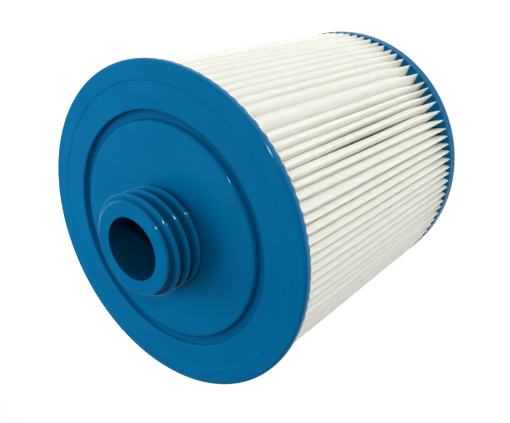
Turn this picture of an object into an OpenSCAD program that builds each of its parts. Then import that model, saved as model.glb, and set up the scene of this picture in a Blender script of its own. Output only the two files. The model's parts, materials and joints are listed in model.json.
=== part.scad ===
// Pleated spa filter cartridge with a coarse-threaded flow nipple.
// Frame: origin at the centre of the closed end's underside, +Z along the axis, towards the nipple.
// Angles about the axis are in degrees, counter-clockwise seen from the nipple, from +X.

/* [Overall] */
// Length from the closed end's underside to the flange's front face
body_len = 160; // [140:1:260]
// Outer diameter of the flange at its front edge
flange_d = 152; // [140:1:180]

/* [Flange end cap] */
// Height of the flange's rim, from its front face to where the pleats enter
flange_h = 6.5; // [5:0.5:12]
// Outer diameter at the back of the rim
flange_back_d = 147.4; // [147:0.1:150]
// Radius of the rounded front edge
flange_edge_r = 2.2; // [1:0.1:3]
// Height of the raised outer band above the rest of the face
band_step = 0.3; // [0:0.1:0.6]
// Inner diameter of the raised outer band
band_d = 135; // [120:1:140]
// Outer diameter of the ring groove round the insert plate
groove_d = 111; // [106:0.5:118]
// Depth of the ring groove
groove_depth = 2.6; // [1:0.1:2.8]

/* [Insert plate] */
// Diameter of the plate that the groove surrounds
disc_d = 102; // [90:1:104]
// Thickness of the plate
disc_t = 3.5; // [3:0.1:5]
// Radius of the plate's rounded rim
disc_edge_r = 1.6; // [0.5:0.1:2]

/* [Threaded nipple] */
// Height of the nipple above the flange's front face
nipple_len = 19.2; // [14:0.1:26]
// Diameter at the root of the thread and of the plain nose
root_d = 42.4; // [40:0.1:43]
// Diameter at the crest of the thread
crest_d = 48; // [46:0.1:50]
// Pitch of the right-hand thread
pitch = 6.2; // [5:0.1:7]
// Diameter of the flow bore
bore_d = 28.66; // [20:0.01:32]
// Depth of the nipple's spigot inside the core tube
spigot_len = 16; // [8:1:30]

/* [Core tube] */
// Outer diameter of the core tube
core_d = 54; // [52:1:60]
// Wall thickness of the core tube
core_wall = 3; // [2:0.5:4]
// Number of windows round the core, an even number
window_cols = 8; // [6:2:12]
// Number of rows of windows
window_rows = 9; // [4:1:12]
// Width of a window
window_w = 11; // [6:0.5:12]
// Height of a window
window_h = 9; // [5:0.5:10]

/* [Pleated media] */
// Number of pleats
pleats = 104; // [80:1:120]
// Diameter over the pleat tips
pleat_d = 148; // [140:1:148]
// Thickness of the folded sheet
sheet_t = 0.6; // [0.4:0.05:0.8]
// Depth of the open groove between two tips, below which the neighbours touch
pleat_groove = 8; // [5:0.5:14]

/* [Closed end] */
// Outer diameter of the closed end cap
cap_d = 148.2; // [146:0.1:152]
// Height of the cap, from its underside to where the pleats enter
cap_h = 8.2; // [5:0.1:12]
// Radius of the rounded edge of its underside
cap_edge_r = 2.2; // [1:0.1:3]
// Thickness of the cap under the end of the core tube
cap_floor = 2; // [1.5:0.1:4]

/* [Handle insert] */
// Depth of the hand pocket
pocket_depth = 22; // [16:1:40]
// Width of the grip bar
bar_w = 9; // [6:0.5:12]
// Height of the grip bar
bar_h = 8; // [5:0.5:10]

/* [Hidden] */
$fn = 96;
moulded_blue = [0.02, 0.40, 0.62];
cast_blue = [0.01, 0.38, 0.60];

flange_r = flange_d / 2;
flange_back_r = flange_back_d / 2;
band_r = band_d / 2;
groove_r = groove_d / 2;
face_z = body_len - band_step;                   // face inside the raised band
rim_back_z = body_len - flange_h;                // where the pleats enter the flange
groove_z = face_z - groove_depth;
disc_r = disc_d / 2;
disc_back_z = body_len - disc_t;                 // back of the insert plate
root_r = root_d / 2;
crest_r = crest_d / 2;
bore_r = bore_d / 2;
tip_z = body_len + nipple_len;
core_r = core_d / 2;
core_in_r = core_r - core_wall;
glue_gap = 0.1;                                  // bonded clearance round a spigot
spigot_r = core_in_r - glue_gap;
spigot_wall = 2.4;
shoulder_r = crest_r + 0.2;                      // the nipple's shoulder, flush with the plate
pleat_r = pleat_d / 2;
cap_r = cap_d / 2;
pocket_r = spigot_r - 2.2;                       // inside of the hand pocket
bar_z = 1;                                       // the bar sits this far up inside the pocket

// Points of an arc about [x, y], from angle a to angle b
function arc(x, y, r, a, b, steps = 6) =
    [for (i = [0 : steps]) [x + r * cos(a + (b - a) * i / steps), y + r * sin(a + (b - a) * i / steps)]];
function polar(r, a) = [r * cos(a), r * sin(a)];

// ---- threaded nipple -------------------------------------------------------------------------

// Half section of the nipple, its shoulder and the spigot that enters the core
module nipple_section() {
    nose = 0.5;                                  // rounding of the nipple's nose
    foot = 1.5;                                  // fillet where the nipple leaves its shoulder
    web_z = disc_back_z - 1.5;                   // where the narrow bore opens into the spigot
    spigot_z = disc_back_z - spigot_len;
    polygon(concat(
        [[bore_r, tip_z - nose], [bore_r + nose, tip_z]],
        arc(root_r - nose, tip_z - nose, nose, 90, 0, 4),
        arc(root_r + foot, face_z + foot, foot, 180, 270, 5),
        [[shoulder_r, face_z], [shoulder_r, disc_back_z], [spigot_r, disc_back_z]],
        [[spigot_r, spigot_z + 1], [spigot_r - 1, spigot_z], [spigot_r - spigot_wall, spigot_z]],
        [[spigot_r - spigot_wall, web_z], [bore_r, web_z]]));
}

// Right-hand thread: one rounded ridge swept along a helix that fades in at both ends
thread_start = -150;                             // angle where the ridge leaves the shoulder
thread_end = 895;                                // angle where it fades into the nose
thread_step = 15;
thread_phase_z = body_len + 3.05 - 27 * pitch / 360; // height of the crest at angle 0
thread_sink = 0.6;                               // how far the ridge's foot runs into the nipple
// Ridge profile as [share of the ridge's height, height along the axis]
ridge = [[0, -1.75], [0.55, -1.05], [0.93, -0.55], [1, 0], [0.93, 0.55], [0.55, 1.05], [0, 1.75]];

// 1 along the full thread, falling to 0 at both ends
function fade(a) = min(1, max(0, (thread_end - a) / 75), max(0, (a - thread_start) / 45));
function ridge_r(share, a) = share == 0 ? root_r - thread_sink
    : root_r + (crest_r - root_r) * share * fade(a) - 0.2 * (1 - fade(a));
function thread_point(a, p) = concat(polar(ridge_r(p[0], a), a),
    [thread_phase_z + a * pitch / 360 + p[1] * (0.3 + 0.7 * fade(a))]);

module thread_ridge() {
    rings = floor((thread_end - thread_start) / thread_step);
    n = len(ridge);
    points = [for (i = [0 : rings]) for (p = ridge) thread_point(thread_start + i * thread_step, p)];
    sides = [for (i = [0 : rings - 1]) for (j = [0 : n - 1])
        let (k = (j + 1) % n) [i * n + j, i * n + k, (i + 1) * n + k, (i + 1) * n + j]];
    polyhedron(points, concat(
        [for (f = sides) [f[0], f[1], f[2]]],
        [for (f = sides) [f[0], f[2], f[3]]],
        [[for (j = [n - 1 : -1 : 0]) j]],
        [[for (j = [0 : n - 1]) rings * n + j]]));
}

module threaded_nipple() {
    color(moulded_blue) union() {
        rotate_extrude() nipple_section();
        thread_ridge();
    }
}

// ---- insert plate ----------------------------------------------------------------------------

// Round plate welded to the nipple's shoulder, which the casting grips by its rim
module insert_plate() {
    color(moulded_blue) rotate_extrude() polygon(concat(
        [[shoulder_r, disc_back_z], [disc_r, disc_back_z]],
        arc(disc_r - disc_edge_r, face_z - disc_edge_r, disc_edge_r, 0, 90, 5),
        [[shoulder_r, face_z]]));
}

// ---- flange end cap --------------------------------------------------------------------------

// Urethane casting that seals the pleats, the core and the insert plate together
module flange_end_cap() {
    color(cast_blue) rotate_extrude() polygon(concat(
        [[core_r, rim_back_z], [flange_back_r, rim_back_z]],
        arc(flange_r - flange_edge_r, body_len - flange_edge_r, flange_edge_r, 0, 90, 6),
        [[band_r + band_step, body_len], [band_r, face_z]],
        arc(groove_r + 0.6, face_z - 0.6, 0.6, 90, 180, 3),
        [[groove_r, groove_z], [disc_r, groove_z], [disc_r, disc_back_z], [core_r, disc_back_z]]));
}

// ---- core tube -------------------------------------------------------------------------------

// Moulded lattice tube that holds the pleats off the flow path
module core_tube() {
    low = cap_floor;
    window_pitch = (body_len - cap_h - flange_h - spigot_len - 20) / window_rows;
    color("whitesmoke") difference() {
        translate([0, 0, low]) cylinder(r = core_r, h = disc_back_z - low);
        translate([0, 0, low - 1]) cylinder(r = core_in_r, h = disc_back_z - low + 2);
        for (row = [0 : window_rows - 1])
            for (col = [0 : window_cols / 2 - 1])
                translate([0, 0, 26 + (row + 0.5) * window_pitch])
                    rotate([0, 0, (col + 0.5) * 360 / window_cols])
                        cube([core_d + 2, window_w, window_h], center = true);
    }
}

// ---- pleated media ---------------------------------------------------------------------------

half_pitch = 180 / pleats;
fold_r = core_r + sheet_t + 0.6;                 // inner end of the slit between two pleats
groove_floor_r = pleat_r - pleat_groove;
slit = 0.05;                                     // half width of the slit between touching pleats

// A point at radius r, moved sideways by y from the radial line at angle a
function beside(r, y, a) = [r * cos(a) - y * sin(a), r * sin(a) + y * cos(a)];

// Outside of the folded sheet: tip, groove floor, slit, groove floor
function outer_fold(a) = [
    polar(pleat_r, a),
    beside(groove_floor_r, -slit, a + half_pitch),
    polar(fold_r, a + half_pitch),
    beside(groove_floor_r, slit, a + half_pitch)];

// Radius of the tip's inside, one sheet thickness within the two faces that meet at the tip
inner_tip_r = pleat_r - sheet_t / sin(atan(pleat_r * sin(half_pitch) / pleat_groove));

// Inside of the folded sheet, one sheet thickness within
function inner_fold(a) = [
    polar(inner_tip_r, a),
    beside(groove_floor_r - 0.4, -slit - sheet_t, a + half_pitch),
    beside(fold_r, -sheet_t, a + half_pitch),
    polar(fold_r - sheet_t, a + half_pitch),
    beside(fold_r, sheet_t, a + half_pitch),
    beside(groove_floor_r - 0.4, slit + sheet_t, a + half_pitch)];

// One sheet folded into pleats that stand between the two end caps
module pleated_media() {
    step = 360 / pleats;
    color("ivory") translate([0, 0, cap_h]) linear_extrude(height = rim_back_z - cap_h) difference() {
        polygon([for (i = [0 : pleats - 1]) each outer_fold(i * step)]);
        polygon([for (i = [0 : pleats - 1]) each inner_fold(i * step)]);
    }
}

// Hot-melt bead inside one pleat, where the sheet's two ends meet
seam_pleat = floor(pleats * 0.55);
module seam_bead() {
    a = seam_pleat * 360 / pleats;
    r_in = 56;
    r_out = 63;
    // half width of the hollow inside a pleat at radius r
    function hollow(r) = r * sin(half_pitch) - slit - sheet_t - 0.05;
    color("gainsboro") translate([0, 0, cap_h])
        linear_extrude(height = rim_back_z - cap_h)
            polygon([beside(r_in, -hollow(r_in), a), beside(r_out, -hollow(r_out), a),
                     beside(r_out, hollow(r_out), a), beside(r_in, hollow(r_in), a)]);
}

// ---- closed end ------------------------------------------------------------------------------

// Urethane casting that seals the pleats' and the core's closed ends and grips the handle insert
module closed_end_cap() {
    color(cast_blue) rotate_extrude() polygon(concat(
        [[core_in_r, 0]],
        arc(cap_r - cap_edge_r, cap_edge_r, cap_edge_r, -90, 0, 6),
        [[cap_r, cap_h], [core_r, cap_h], [core_r, cap_floor], [core_in_r, cap_floor]]));
}

// Hand pocket that plugs the core's closed end, with a bar across it to unscrew the cartridge by
module handle_insert() {
    roof = 2.2;
    color(moulded_blue) {
        difference() {
            cylinder(r = spigot_r, h = pocket_depth + roof);
            translate([0, 0, -1]) cylinder(r = pocket_r, h = pocket_depth + 1);
        }
        intersection() {
            translate([-bar_w / 2, -pocket_r - 1, bar_z]) cube([bar_w, 2 * pocket_r + 2, bar_h]);
            cylinder(r = pocket_r + 1, h = pocket_depth);
        }
    }
}

threaded_nipple();
insert_plate();
flange_end_cap();
core_tube();
pleated_media();
seam_bead();
closed_end_cap();
handle_insert();
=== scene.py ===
import json
import math

import bpy
import numpy as np
from mathutils import Matrix, Vector

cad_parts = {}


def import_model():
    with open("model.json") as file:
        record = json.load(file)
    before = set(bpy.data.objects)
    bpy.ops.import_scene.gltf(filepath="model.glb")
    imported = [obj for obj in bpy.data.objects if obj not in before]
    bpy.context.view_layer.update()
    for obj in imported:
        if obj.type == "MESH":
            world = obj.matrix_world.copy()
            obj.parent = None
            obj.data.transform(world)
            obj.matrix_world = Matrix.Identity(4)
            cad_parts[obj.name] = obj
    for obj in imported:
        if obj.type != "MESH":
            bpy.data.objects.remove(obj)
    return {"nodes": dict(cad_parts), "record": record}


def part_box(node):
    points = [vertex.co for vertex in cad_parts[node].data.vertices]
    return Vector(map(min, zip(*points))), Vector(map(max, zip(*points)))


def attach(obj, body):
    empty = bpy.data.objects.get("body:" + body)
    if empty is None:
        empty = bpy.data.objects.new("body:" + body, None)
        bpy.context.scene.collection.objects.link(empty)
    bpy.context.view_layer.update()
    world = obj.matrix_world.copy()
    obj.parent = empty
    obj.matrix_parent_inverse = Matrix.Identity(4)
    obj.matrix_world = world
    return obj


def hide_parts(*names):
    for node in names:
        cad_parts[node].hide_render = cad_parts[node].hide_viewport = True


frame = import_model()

MM = 0.001
TAU = 2 * math.pi
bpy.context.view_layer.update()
record = frame["record"]
mounts = {m["name"]: m for m in record["mounts"]}


def top(node):
    """Highest z of a CAD node, in millimetres."""
    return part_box(node)[1].z / MM


def low(node):
    """Lowest z of a CAD node, in millimetres."""
    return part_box(node)[0].z / MM


def radius(node):
    """Largest radius of a round CAD node about the axis, in millimetres."""
    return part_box(node)[1].x / MM


# ---- sizes, in millimetres, from the frame ---------------------------------------------------

FLANGE_R = radius("flange_end_cap")
FLANGE_TOP = top("flange_end_cap")
FLANGE_BACK = low("flange_end_cap")
PLATE_R = radius("insert_plate")
PLATE_TOP = top("insert_plate")
PLATE_BACK = low("insert_plate")
TIP_Z = top("threaded_nipple")
SPIGOT_Z = low("threaded_nipple")
BORE_R = mounts["flow_bore"]["dims"]["r_mm"]
CREST_R = mounts["thread"]["dims"]["r_mm"]
CAP_R = radius("closed_end_cap")
CAP_TOP = top("closed_end_cap")
CORE_R = radius("core_tube")
PACK_Z = (low("pleated_media"), top("pleated_media"))
PACK_R = 74.0                 # over the pleat tips; the CAD's outermost tip may lie off the x axis

# ---- sizes, in millimetres, of what only the looks show ---------------------------------------

FLANGE_BACK_R = 73.75
FLANGE_EDGE = 2.2             # rounding of the rim's front edge
FLANGE_FLANK = 3.4            # depth of the rim at its full radius
SCALLOP_IN = 0.55             # how far the rim's flank draws in between the pleat tips
SCALLOP_UP = 0.25             # how far its back edge rises and falls with them
BAND_R = 67.5                 # inner radius of the raised outer band of the face
BAND_STEP = 0.3
BAND_SLOPE = 0.4              # half width of the slope at that step
GROOVE_R = 55.5
GROOVE_DEPTH = 2.6
ROOT_R = 21.2
PITCH = 6.2
SHOULDER_R = CREST_R + 0.2
SPIGOT_R = 23.9
SPIGOT_WALL = 2.4
NIPPLE_FLOOR = PLATE_BACK - 1.5                       # where the bore opens into the spigot
CAP_EDGE = 2.2

# ---- meshes ----------------------------------------------------------------------------------


def mesh_object(name, points, faces):
    """A smooth-shaded mesh of quads, from points in millimetres; its faces look outward."""
    co = np.asarray(points, float).reshape(-1, 3) * MM
    quads = np.asarray(faces, int).reshape(-1, 4)
    a, b, c, d = (co[quads[:, i]] for i in range(4))
    volume = (a * np.cross(b, c)).sum() + (a * np.cross(c, d)).sum()
    if volume < 0:
        quads = quads[:, ::-1]
    mesh = bpy.data.meshes.new(name)
    mesh.vertices.add(len(co))
    mesh.vertices.foreach_set("co", co.astype(np.float32).ravel())
    mesh.loops.add(quads.size)
    mesh.loops.foreach_set("vertex_index", quads.ravel().astype(np.int32))
    mesh.polygons.add(len(quads))
    mesh.polygons.foreach_set("loop_start", np.arange(0, quads.size, 4, dtype=np.int32))
    mesh.update(calc_edges=True)
    mesh.validate()
    mesh.shade_smooth()
    obj = bpy.data.objects.new(name, mesh)
    bpy.context.scene.collection.objects.link(obj)
    return obj


def closed_grid(rows, columns):
    """Quads of a grid that joins up in both directions."""
    i, j = np.meshgrid(np.arange(rows), np.arange(columns), indexing="ij")
    ii, jj = (i + 1) % rows, (j + 1) % columns
    return np.stack([i * columns + j, ii * columns + j, ii * columns + jj, i * columns + jj], -1)


def rounded(corners, segments=8, support=0.3):
    """A closed section of [r, z] points. Each corner is (r, z, radius of its rounding).
    Two points beside each rounding keep the flats flat under smooth shading."""
    section, n = [], len(corners)
    for k, (r, z, fillet) in enumerate(corners):
        here = np.array([r, z], float)
        back = np.array(corners[k - 1][:2], float) - here
        ahead = np.array(corners[(k + 1) % n][:2], float) - here
        long_back, long_ahead = np.linalg.norm(back), np.linalg.norm(ahead)
        back, ahead = back / long_back, ahead / long_ahead
        half = math.acos(np.clip(back @ ahead, -1, 1)) / 2
        cut = min(fillet / math.tan(half), 0.45 * long_back, 0.45 * long_ahead)
        fillet = cut * math.tan(half)
        centre = here + (back + ahead) / np.linalg.norm(back + ahead) * fillet / math.sin(half)
        if cut + support < 0.5 * long_back:
            section.append(here + back * (cut + support))
        start, end = here + back * cut - centre, here + ahead * cut - centre
        turn = math.atan2(start[0] * end[1] - start[1] * end[0], start @ end)
        for s in range(segments + 1):
            a = turn * s / segments
            section.append(centre + [start[0] * math.cos(a) - start[1] * math.sin(a),
                                     start[0] * math.sin(a) + start[1] * math.cos(a)])
        if cut + support < 0.5 * long_ahead:
            section.append(here + ahead * (cut + support))
    return np.array(section)


def lathe(name, section, steps, shape=None):
    """A section turned about the axis. shape(r, z, angle) may move its points to new (r, z)."""
    angle = (np.arange(steps) * TAU / steps)[:, None]
    r = np.broadcast_to(section[:, 0], (steps, len(section)))
    z = np.broadcast_to(section[:, 1], (steps, len(section)))
    if shape is not None:
        r, z = shape(r, z, angle)
    points = np.stack([r * np.cos(angle), r * np.sin(angle), z], -1)
    return mesh_object(name, points, closed_grid(steps, len(section)))


def smoothstep(x):
    x = np.clip(x, 0, 1)
    return x * x * (3 - 2 * x)


# ---- materials -------------------------------------------------------------------------------


class Shader:
    """A node material round one Principled shader."""

    def __init__(self, name):
        self.material = bpy.data.materials.new(name)
        self.material.use_nodes = True
        self.tree = self.material.node_tree
        self.bsdf = next(n for n in self.tree.nodes if n.type == "BSDF_PRINCIPLED")
        self.where = self.tree.nodes.new("ShaderNodeTexCoord").outputs["Object"]

    def node(self, kind, **inputs):
        made = self.tree.nodes.new(kind)
        for key, value in inputs.items():
            socket = made.inputs[key.replace("_", " ")]
            if isinstance(value, bpy.types.NodeSocket):
                self.tree.links.new(value, socket)
            else:
                socket.default_value = value
        return made

    def noise(self, scale, detail=3.0, distortion=0.0, vector=None):
        return self.node("ShaderNodeTexNoise", Vector=vector or self.where, Scale=scale,
                         Detail=detail, Distortion=distortion).outputs["Fac"]

    def ramp(self, value, *stops):
        """Colours by value; each stop is (position, (r, g, b))."""
        made = self.node("ShaderNodeValToRGB", Fac=value)
        elements = made.color_ramp.elements
        while len(elements) < len(stops):
            elements.new(0.5)
        for element, (position, colour) in zip(elements, stops):
            element.position = position
            element.color = (*colour, 1)
        return made.outputs["Color"]

    def span(self, value, low_in, high_in, low_out, high_out):
        made = self.node("ShaderNodeMapRange")
        self.tree.links.new(value, made.inputs[0])
        for k, v in enumerate((low_in, high_in, low_out, high_out), 1):
            made.inputs[k].default_value = v
        return made.outputs[0]

    def place(self):
        """Distance from the axis and height, in millimetres."""
        axes = self.tree.nodes.new("ShaderNodeSeparateXYZ")
        self.tree.links.new(self.where, axes.inputs[0])
        across = self.math("SQRT", self.math("ADD", self.math("POWER", axes.outputs[0], 2.0),
                                             self.math("POWER", axes.outputs[1], 2.0)))
        return (self.math("DIVIDE", across, MM), self.math("DIVIDE", axes.outputs[2], MM))

    def math(self, operation, *values):
        made = self.tree.nodes.new("ShaderNodeMath")
        made.operation = operation
        for k, value in enumerate(values):
            if isinstance(value, bpy.types.NodeSocket):
                self.tree.links.new(value, made.inputs[k])
            else:
                made.inputs[k].default_value = value
        return made.outputs[0]

    def blend(self, factor, first, second):
        """From the first colour at factor 0 to the second at 1."""
        made = self.tree.nodes.new("ShaderNodeMix")
        made.data_type = "RGBA"
        colours = [i for i in made.inputs if i.type == "RGBA"]
        self.tree.links.new(factor, made.inputs[0])
        for socket, value in zip(colours, (first, second)):
            if isinstance(value, bpy.types.NodeSocket):
                self.tree.links.new(value, socket)
            else:
                socket.default_value = (*value, 1)
        return next(o for o in made.outputs if o.type == "RGBA")

    def bump(self, height, strength, distance, normal=None):
        made = self.node("ShaderNodeBump", Height=height, Strength=strength, Distance=distance)
        if normal is not None:
            self.tree.links.new(normal, made.inputs["Normal"])
        return made.outputs["Normal"]

    def set(self, **inputs):
        for key, value in inputs.items():
            socket = self.bsdf.inputs[key.replace("_", " ")]
            if isinstance(value, bpy.types.NodeSocket):
                self.tree.links.new(value, socket)
            else:
                socket.default_value = value
        return self.material


def nipple_painted_shade(s):
    """Mask for painted shade: 0 in the bore and at the thread's root, which are painted darker, 1
    on the crests and the end face.
    """
    r, z = s.place()
    root = s.math("MAXIMUM", s.span(r, ROOT_R, CREST_R - 0.5, 0, 1),
                  s.span(z, TIP_Z - 1.8, TIP_Z - 0.9, 0, 1))
    return s.math("MINIMUM", root, s.span(r, BORE_R, BORE_R + 0.4, 0, 1))


def groove_painted_shade(s):
    """Mask for painted shade: 0 in the groove round the plate, which is painted darker, 1
    elsewhere.
    """
    r, z = s.place()
    floor = FLANGE_TOP - BAND_STEP - GROOVE_DEPTH
    return s.math("MAXIMUM", s.span(z, floor + 0.2, floor + 1.8, 0, 1),
                  s.span(r, GROOVE_R + 0.6, GROOVE_R + 1.2, 0, 1))


def blue_plastic(name, deep, light, gloss, ripple, specular, painted_shade_mask=None, depth=1.0):
    """Glossy blue plastic: slight mottling, a faint ripple and fine handling scratches.
    An optional mask, called on the shader, paints shade: where it gives 0 the plastic is painted
    depth times as light."""
    s = Shader(name)
    mottle = s.noise(45, 4, 0.4)
    colour = s.ramp(mottle, (0.3, deep), (0.7, light))
    # painted shade: where the mask gives 0 the blue is painted darker, depth times the deep blue
    if painted_shade_mask is not None:
        colour = s.blend(painted_shade_mask(s), [depth * c for c in deep], colour)
    haze = s.noise(130, 5, 0.6)
    rough = s.span(haze, 0.3, 0.7, gloss, gloss + 0.05)
    swell = s.noise(ripple, 2, 0.2)
    skin = s.noise(2600, 2)
    normal = s.bump(skin, 0.04, 0.0002, s.bump(swell, 0.1, 0.001))
    return s.set(Base_Color=colour, Roughness=rough, Normal=normal, Specular_IOR_Level=specular,
                 Specular_Tint=(0.45, 0.88, 1.0, 1.0))


def filter_fabric():
    """Spunbond polyester: matt off-white felt, with fine crossed fibres and cloudy patches."""
    s = Shader("spunbond_polyester")
    clouds = s.noise(160, 5, 0.5)
    colour = s.ramp(clouds, (0.25, (0.86, 0.86, 0.73)), (0.75, (0.91, 0.91, 0.80)))
    fibres = s.noise(2200, 4, 2.5)
    felt = s.noise(700, 4, 1.0)
    normal = s.bump(fibres, 0.25, 0.0002, s.bump(felt, 0.25, 0.0004))
    rough = s.span(felt, 0.3, 0.7, 0.82, 0.95)
    return s.set(Base_Color=colour, Roughness=rough, Normal=normal, Sheen_Weight=0.1,
                 Specular_IOR_Level=0.2, Subsurface_Weight=0.6, Subsurface_Scale=0.004,
                 Subsurface_Radius=(1.0, 1.0, 0.9))


def white_polypropylene():
    """Satin natural polypropylene of the core tube."""
    s = Shader("core_polypropylene")
    colour = s.ramp(s.noise(60, 3), (0.3, (0.80, 0.80, 0.77)), (0.7, (0.86, 0.86, 0.83)))
    rough = s.span(s.noise(300, 3), 0.3, 0.7, 0.38, 0.5)
    return s.set(Base_Color=colour, Roughness=rough, Normal=s.bump(s.noise(900, 2), 0.1, 0.0002))


def hot_melt():
    """Milky hot-melt adhesive."""
    s = Shader("hot_melt")
    colour = s.ramp(s.noise(200, 3), (0.3, (0.72, 0.71, 0.64)), (0.7, (0.80, 0.79, 0.73)))
    rough = s.span(s.noise(500, 3), 0.3, 0.7, 0.3, 0.45)
    return s.set(Base_Color=colour, Roughness=rough, Normal=s.bump(s.noise(400, 3), 0.3, 0.0005))


DEEP, LIGHT = (0.0, 0.115, 0.278), (0.0, 0.128, 0.301)
MOULDED = blue_plastic("moulded_blue", DEEP, LIGHT, 0.06, 60, 0.35)
# the nipple's bore and thread roots get painted shade, a darker blue
MOULDED_NIPPLE = blue_plastic("moulded_blue_nipple_painted_shade", DEEP, LIGHT, 0.06, 60, 0.35,
                              nipple_painted_shade, 0.35)
# the groove round the plate gets painted shade, a darker blue
CAST_FLANGE = blue_plastic("cast_blue_flange_painted_shade", DEEP, LIGHT, 0.06, 45, 0.35, groove_painted_shade, 0.8)
CAST_CAP = blue_plastic("cast_blue_cap", DEEP, LIGHT, 0.15, 45, 0.03)
FABRIC = filter_fabric()
CORE_WHITE = white_polypropylene()
HOT_MELT = hot_melt()


def finish(obj, material, slot, *nodes):
    """Gives a new piece its material, and lets it stand for CAD nodes. The slot argument is not
    used.
    """
    obj.data.materials.clear()
    obj.data.materials.append(material)
    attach(obj, "root")
    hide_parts(*nodes)
    return obj


def repaint(node, material):
    """A better material on a CAD node that stays."""
    mesh = frame["nodes"][node].data
    mesh.materials.clear()
    mesh.materials.append(material)


# ---- pleats ----------------------------------------------------------------------------------

# Pleats are counted from the first tip, counter-clockwise. Noise is a pleat's own deviation and
# drift is shared with its neighbours; those of pitch, lean, bow and groove are in pitches.
PLEATS = 104
SHEET = 0.6                   # thickness of the sheet
FOLD_R = CORE_R + 1.0         # middle of the sheet at the inner folds
FIRST_TIP = math.radians(0.2)
PITCH_NOISE, PITCH_DRIFT = 0.07, 0.03
WIDE, WIDE_GAPS = slice(8, 11), (1.36, 1.53, 1.16)   # three wide pleats on the upper right
LEAN_NOISE, LEAN_DRIFT, BOW_NOISE = 0.05, 0.20, 0.03
CROWD_AT, CROWD_REACH, CROWD_LEAN = math.radians(16), math.radians(9), 0.9
TIP_NOISE = 0.14              # unevenness of the tips' radius
GROOVE_NOISE = 0.05
PRESSED_AT, PRESSED_REACH = math.radians(73), math.radians(42)   # closed, shallower grooves
SLIT, SLIT_NOISE = 0.06, 0.12                        # half width of the slit under a groove
GAPING, GAPING_SLITS = slice(3, 6), (0.3, 0.6, 0.4)  # grooves that gape below the wide pleats
GROOVE_SIDE = 0.14            # how far grooves lie off the middle, as a share of the pitch
GROOVE_FLOOR = 70.9           # radius of the grooves' floor half way up
OPEN_DEEPER, OPEN_REACH = 5.9, 15.0                  # deeper near the closed end
FLANGE_DEEPER, FLANGE_REACH = 1.0, 8.0               # and near the flange
PRESSED_SHALLOWER = 2.2
GROOVE_STEPS = (0.05, 0.18, 0.5, 1.0)                # shares of the groove's depth, from the tip
TIP_CLEARANCE = 0.1           # between the tips and the pack's radius
TIP_TAPER = 0.35              # how far the tips draw in over the upper two fifths of the pack
TIP_TUCK, TUCK_REACH = 0.4, 4.0                      # and how far more just under the flange
rng = np.random.default_rng(12)


def drift(width, size):
    """A smooth random wave round the pack: one value a pleat, about size high."""
    raw = rng.standard_normal(PLEATS)
    reach = np.arange(-3 * width, 3 * width + 1)
    kernel = np.exp(-0.5 * (reach / width) ** 2)
    wave = sum(k * np.roll(raw, int(s)) for k, s in zip(kernel, reach))
    return size * wave / math.sqrt((kernel ** 2).sum())


even = TAU / PLEATS
gaps = 1 + PITCH_NOISE * rng.standard_normal(PLEATS) + drift(2, PITCH_DRIFT)
gaps[WIDE] = WIDE_GAPS
tip_angle = FIRST_TIP + np.append(0, np.cumsum(gaps)[:-1]) * TAU / gaps.sum()
crowd = (tip_angle - CROWD_AT) / CROWD_REACH
lean = drift(5, LEAN_DRIFT * even) + rng.standard_normal(PLEATS) * LEAN_NOISE * even
lean -= CROWD_LEAN * even * crowd * np.exp(-crowd ** 2)   # pleats crowd together at the flange
bow = rng.standard_normal(PLEATS) * BOW_NOISE * even
tip_height = rng.standard_normal(PLEATS) * TIP_NOISE
groove_side = 0.5 + rng.standard_normal(PLEATS) * GROOVE_NOISE
pressed = np.exp(-((tip_angle - PRESSED_AT) / PRESSED_REACH) ** 4)
slit_gap = SLIT + SLIT_NOISE * np.clip(rng.standard_normal(PLEATS), 0, 2.5)
slit_gap *= 1 - 0.8 * pressed
slit_gap[GAPING] = GAPING_SLITS


def pack_heights():
    """Heights of the mesh's rings: closer together near both ends."""
    z0, z1 = PACK_Z
    near_cap = z0 + np.array([-0.3, 1, 2.5, 4.5, 7, 10, 13.5, 17.5, 22, 27])
    near_flange = z1 - np.array([14, 9, 5.5, 3, 1.2, -0.3])
    middle = np.linspace(near_cap[-1], near_flange[0], 14)[1:-1]
    return np.concatenate([near_cap, middle, near_flange])


def pleat_tips(height):
    """Angle of each tip at a height share from 0 at the closed end to 1 at the flange."""
    return tip_angle + lean * (height - 0.5) + bow * math.sin(math.pi * height)


def before(values, turn=0.0):
    """For each pleat, the value of the pleat before it; turn is taken off where it wraps."""
    return np.append(values[-1] - turn, values[:-1])


def after(values, turn=0.0):
    """For each pleat, the value of the pleat after it; turn is added where it wraps."""
    return np.append(values[1:], values[0] + turn)


def pleat_shape(z):
    """One ring of the pack: the angles and radii of its tips and grooves at that height."""
    z0, z1 = PACK_Z
    share, from_cap, from_flange = (z - z0) / (z1 - z0), z - z0, z1 - z
    tips = pleat_tips(share)
    loose = smoothstep(from_cap / 12) * smoothstep(from_flange / 12)
    tip_r = PACK_R - TIP_CLEARANCE - SHEET / 2 - TIP_TAPER * smoothstep((share - 0.6) / 0.4)
    tip_r = tip_r - TIP_TUCK * math.exp(-from_flange / TUCK_REACH) + tip_height * loose
    # the grooves are deep and straight-sided at the ends, and shallow and swollen between
    open_end = math.exp(-(from_cap / OPEN_REACH) ** 2)
    side = groove_side + GROOVE_SIDE * (1 - open_end)
    side = side + 0.02 * np.sin(5 * share + np.arange(PLEATS) * 2.4)
    grooves = tips + (after(tips, TAU) - tips) * side
    evenly = (np.arange(PLEATS) + 0.5) * even
    inner = evenly + tip_angle[0] + 0.25 * (grooves - evenly - tip_angle[0])
    shallow = pressed * (1 - open_end)
    floor_r = GROOVE_FLOOR - OPEN_DEEPER * open_end
    floor_r = floor_r - FLANGE_DEEPER * math.exp(-from_flange / FLANGE_REACH)
    floor_r = floor_r + PRESSED_SHALLOWER * shallow
    power = 0.72 + 0.26 * open_end - 0.12 * shallow
    gape = slit_gap * math.exp(-((share - 0.5) / 0.28) ** 2)
    return tips, grooves, inner, tip_r, floor_r, power, gape


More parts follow.
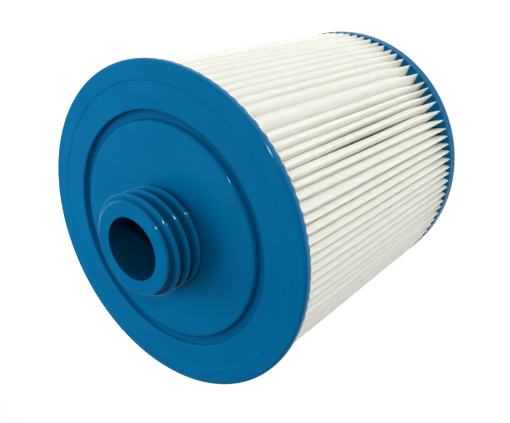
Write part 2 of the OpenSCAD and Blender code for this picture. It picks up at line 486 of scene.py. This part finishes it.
def pleat_line(z):
    """The middle of the sheet at that height, as one closed line of [x, y] points."""
    tips, grooves, inner, tip_r, floor_r, power, gape = pleat_shape(z)
    out = (+1, grooves, inner, gape)                  # from each tip into the groove after it
    back = (-1, before(grooves, TAU), before(inner, TAU), before(gape))
    flanks = []
    for way, groove, fold, gap in (out, back):
        half_slit = SHEET / 2 + 0.04 + gap
        rs = [tip_r + (floor_r - tip_r) * s for s in GROOVE_STEPS]
        angles = [tips + (groove - way * half_slit / floor_r - tips) * s ** power
                  for s in GROOVE_STEPS]
        rs.append(np.full(PLEATS, FOLD_R + 0.3))
        angles.append(fold - way * half_slit / FOLD_R)
        flanks.append((rs, angles))
    (out_r, out_a), (back_r, back_a) = flanks
    r = [tip_r] + out_r + [np.full(PLEATS, FOLD_R)] + [after(b) for b in back_r[::-1]]
    a = [tips] + out_a + [inner] + [after(b, TAU) for b in back_a[::-1]]
    r, a = np.stack(r, 1), np.stack(a, 1)
    return np.stack([(r * np.cos(a)).ravel(), (r * np.sin(a)).ravel()], 1)


def media_mesh():
    """The folded sheet: rings up its outer side, and back down its inner side."""
    skins = {+1: [], -1: []}
    for z in pack_heights():
        line = pleat_line(z)
        along = np.roll(line, -1, 0) - np.roll(line, 1, 0)
        along /= np.linalg.norm(along, axis=1)[:, None]
        outward = np.stack([along[:, 1], -along[:, 0]], 1)
        for skin in skins:
            moved = line + outward * (skin * SHEET / 2)
            skins[skin].append(np.column_stack([moved, np.full(len(moved), z)]))
    loops = skins[+1] + skins[-1][::-1]
    return mesh_object("pleated_sheet", np.array(loops), closed_grid(len(loops), len(loops[0])))


sheet = finish(media_mesh(), FABRIC, "filter_fabric", "pleated_media")

# ---- flange end cap --------------------------------------------------------------------------


def scallops(r, z, angle):
    """The rim's flank draws in between the pleat tips, and creeps down each of them."""
    tips = np.sort(np.mod(pleat_tips(1.0), TAU))
    here = np.mod(angle, TAU)
    near = np.min(np.abs((here - tips[None, :] + math.pi) % TAU - math.pi), axis=1)[:, None]
    tipness = 1 - smoothstep(near / (0.5 * even))
    outer = smoothstep((r - 68) / 4)
    edge = outer * smoothstep((FLANGE_BACK + 2.5 - z) / 2.5)
    flank = outer * smoothstep((FLANGE_TOP - FLANGE_EDGE - z) / 2.5)
    drawn_in = flank * SCALLOP_IN * (1 - tipness)
    return r - drawn_in, z + edge * SCALLOP_UP * (1 - 2 * tipness)


def flange_mesh():
    """The casting: its rim, the raised outer band and the groove round the plate."""
    face = FLANGE_TOP - BAND_STEP
    groove = face - GROOVE_DEPTH
    section = rounded([
        (CORE_R, FLANGE_BACK, 0.2), (FLANGE_BACK_R, FLANGE_BACK, 0.3),
        (FLANGE_R, FLANGE_TOP - FLANGE_FLANK, 3.0), (FLANGE_R, FLANGE_TOP, FLANGE_EDGE),
        (BAND_R + BAND_SLOPE, FLANGE_TOP, 0.8), (BAND_R - BAND_SLOPE, face, 0.8),
        (GROOVE_R, face, 0.7), (GROOVE_R, groove, 0.8),
        (PLATE_R, groove, 0.4), (PLATE_R, PLATE_BACK, 0.1), (CORE_R, PLATE_BACK, 0.2)])
    return lathe("flange", section, PLEATS * 6, scallops)


finish(flange_mesh(), CAST_FLANGE, "cast_blue", "flange_end_cap")

# ---- insert plate and threaded nipple --------------------------------------------------------


def plate_mesh():
    """The flat ring round the nipple's shoulder."""
    section = rounded([
        (SHOULDER_R, PLATE_BACK, 0.1), (PLATE_R, PLATE_BACK, 0.1),
        (PLATE_R, PLATE_TOP, 1.8), (SHOULDER_R, PLATE_TOP, 0.02)])
    return lathe("plate", section, 360)


finish(plate_mesh(), MOULDED, "moulded_blue", "insert_plate")

THREAD_AT = math.radians(27)                          # an angle, and the crest's height there
THREAD_Z = FLANGE_TOP + 3.05
THREAD_START = math.radians(-150)
THREAD_END = math.radians(895)
THREAD_HALF = 1.85            # half width of the ridge, in millimetres
THREAD_WALL = 5.0             # the wall that carries it is longer than this
THREAD_ROW = 0.16             # spacing of the mesh's rows up that wall


def thread(r, z, angle):
    """Raises the right-hand thread out of the nipple's wall."""
    turns = (z - THREAD_Z) / PITCH - (angle - THREAD_AT) / TAU
    whole = np.round(turns)
    off = np.abs(turns - whole) * PITCH
    along = angle + whole * TAU
    fade = smoothstep((THREAD_END - along) / 1.3) * smoothstep((along - THREAD_START) / 0.8)
    crest = np.clip(1 - (off / THREAD_HALF) ** 2, 0, 1) ** 0.8
    crest = crest * smoothstep((THREAD_HALF + 0.05 - off) / 0.9)
    wall = (np.abs(r - ROOT_R) < 0.05) & (z > PLATE_TOP + 0.5) & (z < TIP_Z - 0.4)
    return r + np.where(wall, (CREST_R - ROOT_R) * crest * fade, 0), z


def nipple_mesh():
    """The nipple with its thread, and the spigot behind it that fits the core tube."""
    section = rounded([
        (BORE_R, TIP_Z, 0.3), (BORE_R, NIPPLE_FLOOR, 0.4),
        (SPIGOT_R - SPIGOT_WALL, NIPPLE_FLOOR, 0.4), (SPIGOT_R - SPIGOT_WALL, SPIGOT_Z, 0.4),
        (SPIGOT_R, SPIGOT_Z, 1.0), (SPIGOT_R, PLATE_BACK, 0.1), (SHOULDER_R, PLATE_BACK, 0.1),
        (SHOULDER_R, PLATE_TOP, 0.02), (ROOT_R, PLATE_TOP, 1.5), (ROOT_R, TIP_Z, 0.6)])
    # many points up the threaded wall, which is the section's longest straight at ROOT_R
    wall = np.where(np.abs(section[:, 0] - ROOT_R) < 1e-6)[0]
    first = next(k for k in wall if section[k + 1, 1] - section[k, 1] > THREAD_WALL)
    z = np.arange(section[first, 1] + THREAD_ROW, section[first + 1, 1] - 0.05, THREAD_ROW)
    rows = np.column_stack([np.full(len(z), ROOT_R), z])
    section = np.insert(section, first + 1, rows, axis=0)
    return lathe("nipple", section, 300, thread)


finish(nipple_mesh(), MOULDED_NIPPLE, "moulded_blue", "threaded_nipple")

# ---- closed end ------------------------------------------------------------------------------


def closed_cap_mesh():
    """The lower casting: a plain disc round the handle insert."""
    core_end = low("core_tube")
    section = rounded([
        (SPIGOT_R + 0.1, 0, 0.3), (CAP_R, 0, CAP_EDGE), (CAP_R, CAP_TOP, 0.3),
        (CORE_R, CAP_TOP, 0.1), (CORE_R, core_end, 0.1), (SPIGOT_R + 0.1, core_end, 0.1)])
    return lathe("closed_cap", section, 480)


finish(closed_cap_mesh(), CAST_CAP, "cast_blue", "closed_end_cap")

repaint("core_tube", CORE_WHITE)
repaint("seam_bead", HOT_MELT)
repaint("handle_insert", MOULDED)

# ---- floor, light and camera -----------------------------------------------------------------

MIDDLE = Vector((0, 0, 0.09))


def make_floor():
    """A white floor, just under the part, that glows a little like a lit paper sweep."""
    half, z = 3.0, -0.0002
    mesh = bpy.data.meshes.new("floor")
    mesh.from_pydata([(-half, -half, z), (half, -half, z), (half, half, z), (-half, half, z)],
                     [], [(0, 1, 2, 3)])
    obj = bpy.data.objects.new("floor", mesh)
    bpy.context.scene.collection.objects.link(obj)
    s = Shader("floor_white")
    colour = s.ramp(s.noise(6, 2), (0.3, (0.50, 0.50, 0.50)), (0.7, (0.52, 0.52, 0.52)))
    s.set(Base_Color=colour, Roughness=0.9, Specular_IOR_Level=0.1,
          Emission_Color=(1, 1, 1, 1), Emission_Strength=0.78)
    mesh.materials.append(s.material)
    obj.visible_glossy = False                       # no white glare along the rims


def area_light(name, direction, distance, size, power, mirrored):
    """A square softbox in that direction from the middle of the part, facing it. Only a
    mirrored one shows in the gloss of the plastic."""
    data = bpy.data.lights.new(name, "AREA")
    data.shape = "SQUARE"
    data.size = size
    data.energy = power
    obj = bpy.data.objects.new(name, data)
    bpy.context.scene.collection.objects.link(obj)
    way = Vector(direction).normalized()
    obj.location = MIDDLE + way * distance
    obj.rotation_euler = way.to_track_quat("Z", "Y").to_euler()
    obj.visible_glossy = mirrored


# name, direction, distance and size in metres, power in watts, mirrored
LIGHTS = [
    ("overhead", (0, 0, 1), 1.3, 1.4, 2.2, False),
    ("left", (-0.58, 0.29, 0.76), 0.52, 0.5, 3.2, False),
    ("upper_right", (0.69, 0.70, 0.18), 1.3, 1.0, 4.1, False),
    ("right", (0.97, 0.07, 0.18), 1.3, 1.2, 1.5, False),
    ("back_wall", (0.1, 1, 0.2), 1.3, 1.2, 1.1, False),
    ("front_fill", (-0.3, -0.95, 0.1), 1.3, 1.2, 2.6, False),
    ("lamp", (0.65, 0.45, 0.615), 1.3, 0.08, 5.6, True),
]


def make_light():
    """Softboxes above and all round, a small lamp, and a world that is dim in the plastic's
    gloss, paler along the horizon, and white to the camera."""
    world = bpy.data.worlds.new("studio")
    bpy.context.scene.world = world
    world.use_nodes = True
    tree = world.node_tree
    direction = tree.nodes.new("ShaderNodeTexCoord").outputs["Generated"]
    split = tree.nodes.new("ShaderNodeSeparateXYZ")
    tree.links.new(direction, split.inputs[0])
    fall = tree.nodes.new("ShaderNodeMapRange")
    tree.links.new(split.outputs["Z"], fall.inputs[0])
    for k, v in enumerate((0.0, 0.06, 0.85, 0.05), 1):
        fall.inputs[k].default_value = v
    seen = tree.nodes.new("ShaderNodeMath")
    seen.operation = "MAXIMUM"
    tree.links.new(tree.nodes.new("ShaderNodeLightPath").outputs["Is Camera Ray"], seen.inputs[0])
    tree.links.new(fall.outputs[0], seen.inputs[1])
    background = tree.nodes["Background"].inputs
    background["Color"].default_value = (1, 1, 1, 1)
    tree.links.new(seen.outputs[0], background["Strength"])
    for light in LIGHTS:
        area_light(*light)


def make_camera():
    """The photograph's viewpoint: above the nipple's side, rolled so that the axis lies across."""
    data = bpy.data.cameras.new("camera")
    data.lens = 41.72
    data.sensor_width = 36
    data.shift_x = -0.0036
    data.shift_y = 0.0678
    obj = bpy.data.objects.new("camera", data)
    bpy.context.scene.collection.objects.link(obj)
    right = Vector((0.76741, -0.21925, -0.60250))
    up = Vector((0, 0.93971, -0.34196))
    back = right.cross(up)
    turn = Matrix((right, up, back)).transposed().to_4x4()
    place = Vector((0.20199, 0.05563, 0.16768 + FLANGE_TOP * MM))
    obj.matrix_world = Matrix.Translation(place) @ turn
    bpy.context.scene.camera = obj


make_floor()
make_light()
make_camera()
bpy.context.scene.view_settings.view_transform = "Standard"
